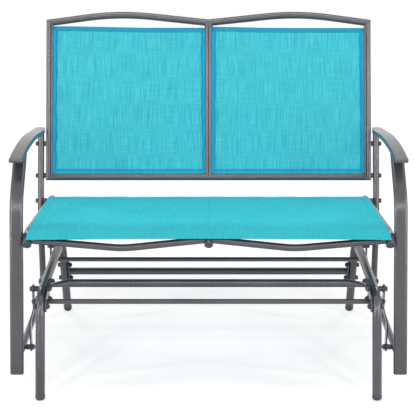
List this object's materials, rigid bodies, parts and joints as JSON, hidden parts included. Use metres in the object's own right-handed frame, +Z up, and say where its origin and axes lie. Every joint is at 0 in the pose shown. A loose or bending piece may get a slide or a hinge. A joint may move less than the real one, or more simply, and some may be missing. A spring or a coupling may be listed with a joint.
{
  "type": "glider bench",
  "caption": "Two-seat outdoor glider bench: sling seat and back on a tube frame that swings on links over a fixed base.",
  "frame": {"origin": "on the floor under the middle of the bench's overall box", "axes": "+X to the right as seen from the front, +Y rearward, +Z up"},
  "size_m": [1.0462, 0.7834, 0.9223],
  "materials": {
    "frame_paint": "satin powder coat",
    "armrest_paint": "satin powder coat",
    "dark_steel": "black zinc",
    "cap_plastic": "matte moulded",
    "bush_nylon": "moulded nylon",
    "sling_fabric": "woven mesh sling"
  },
  "bodies": {
    "base": {"base_arch_left": "frame_paint", "base_arch_right": "frame_paint", "cross_bar_bolts": "dark_steel", "cross_bar_nuts": "dark_steel", "foot_cap_front_left": "cap_plastic", "foot_cap_front_right": "cap_plastic", "foot_cap_rear_left": "cap_plastic", "foot_cap_rear_right": "cap_plastic", "front_bar_plates": "frame_paint", "front_cross_bar": "frame_paint", "rear_bar_plates": "frame_paint", "rear_cross_bar": "frame_paint", "upper_pivot_bolts": "dark_steel", "upper_pivot_nuts": "dark_steel", "upper_pivot_spacers": "dark_steel"},
    "front_swing": {"front_link_bushes": "bush_nylon", "front_link_left": "frame_paint", "front_link_right": "frame_paint", "front_rod_nuts": "dark_steel", "front_tie_rod": "frame_paint"},
    "rear_swing": {"rear_link_bushes": "bush_nylon", "rear_link_left": "frame_paint", "rear_link_right": "frame_paint", "rear_rod_nuts": "dark_steel", "rear_tie_rod": "frame_paint"},
    "seat": {"arm_post_left": "frame_paint", "arm_post_right": "frame_paint", "arm_tube_left": "frame_paint", "arm_tube_right": "frame_paint", "armrest_left": "armrest_paint", "armrest_right": "armrest_paint", "back_bolts": "dark_steel", "back_bottom_rail": "frame_paint", "back_middle_stile": "frame_paint", "back_sling_left": "sling_fabric", "back_sling_right": "sling_fabric", "back_spacers": "dark_steel", "back_stile_left": "frame_paint", "back_stile_right": "frame_paint", "back_top_rail": "frame_paint", "lower_pivot_bolts": "dark_steel", "lower_pivot_nuts": "dark_steel", "lower_pivot_spacers": "dark_steel", "post_plug_left": "cap_plastic", "post_plug_right": "cap_plastic", "seat_bolts": "dark_steel", "seat_front_rail": "frame_paint", "seat_middle_rail": "frame_paint", "seat_nuts": "dark_steel", "seat_rail_caps": "cap_plastic", "seat_rear_rail": "frame_paint", "seat_side_rail_left": "frame_paint", "seat_side_rail_right": "frame_paint", "seat_sling": "sling_fabric", "seat_spacers": "dark_steel"}
  },
  "joints": [
    {"name": "front_swing_hinge", "type": "hinge", "parent": "base", "child": "front_swing", "pos_m": [0, -0.25038, 0.2649], "axis": [1, 0, 0], "range_deg": [-18, 18]},
    {"name": "seat_glide_hinge", "type": "hinge", "parent": "front_swing", "child": "seat", "pos_m": [0, -0.25038, 0.0972], "axis": [1, 0, 0], "range_deg": [-18, 18]},
    {"name": "rear_swing_hinge", "type": "hinge", "parent": "base", "child": "rear_swing", "pos_m": [0, 0.11862, 0.2649], "axis": [1, 0, 0], "range_deg": [-18, 18]}
  ],
  "couplings": [
    {"joint": "seat_glide_hinge", "follows": "front_swing_hinge", "ratio": -1},
    {"joint": "rear_swing_hinge", "follows": "front_swing_hinge", "ratio": 1}
  ]
}
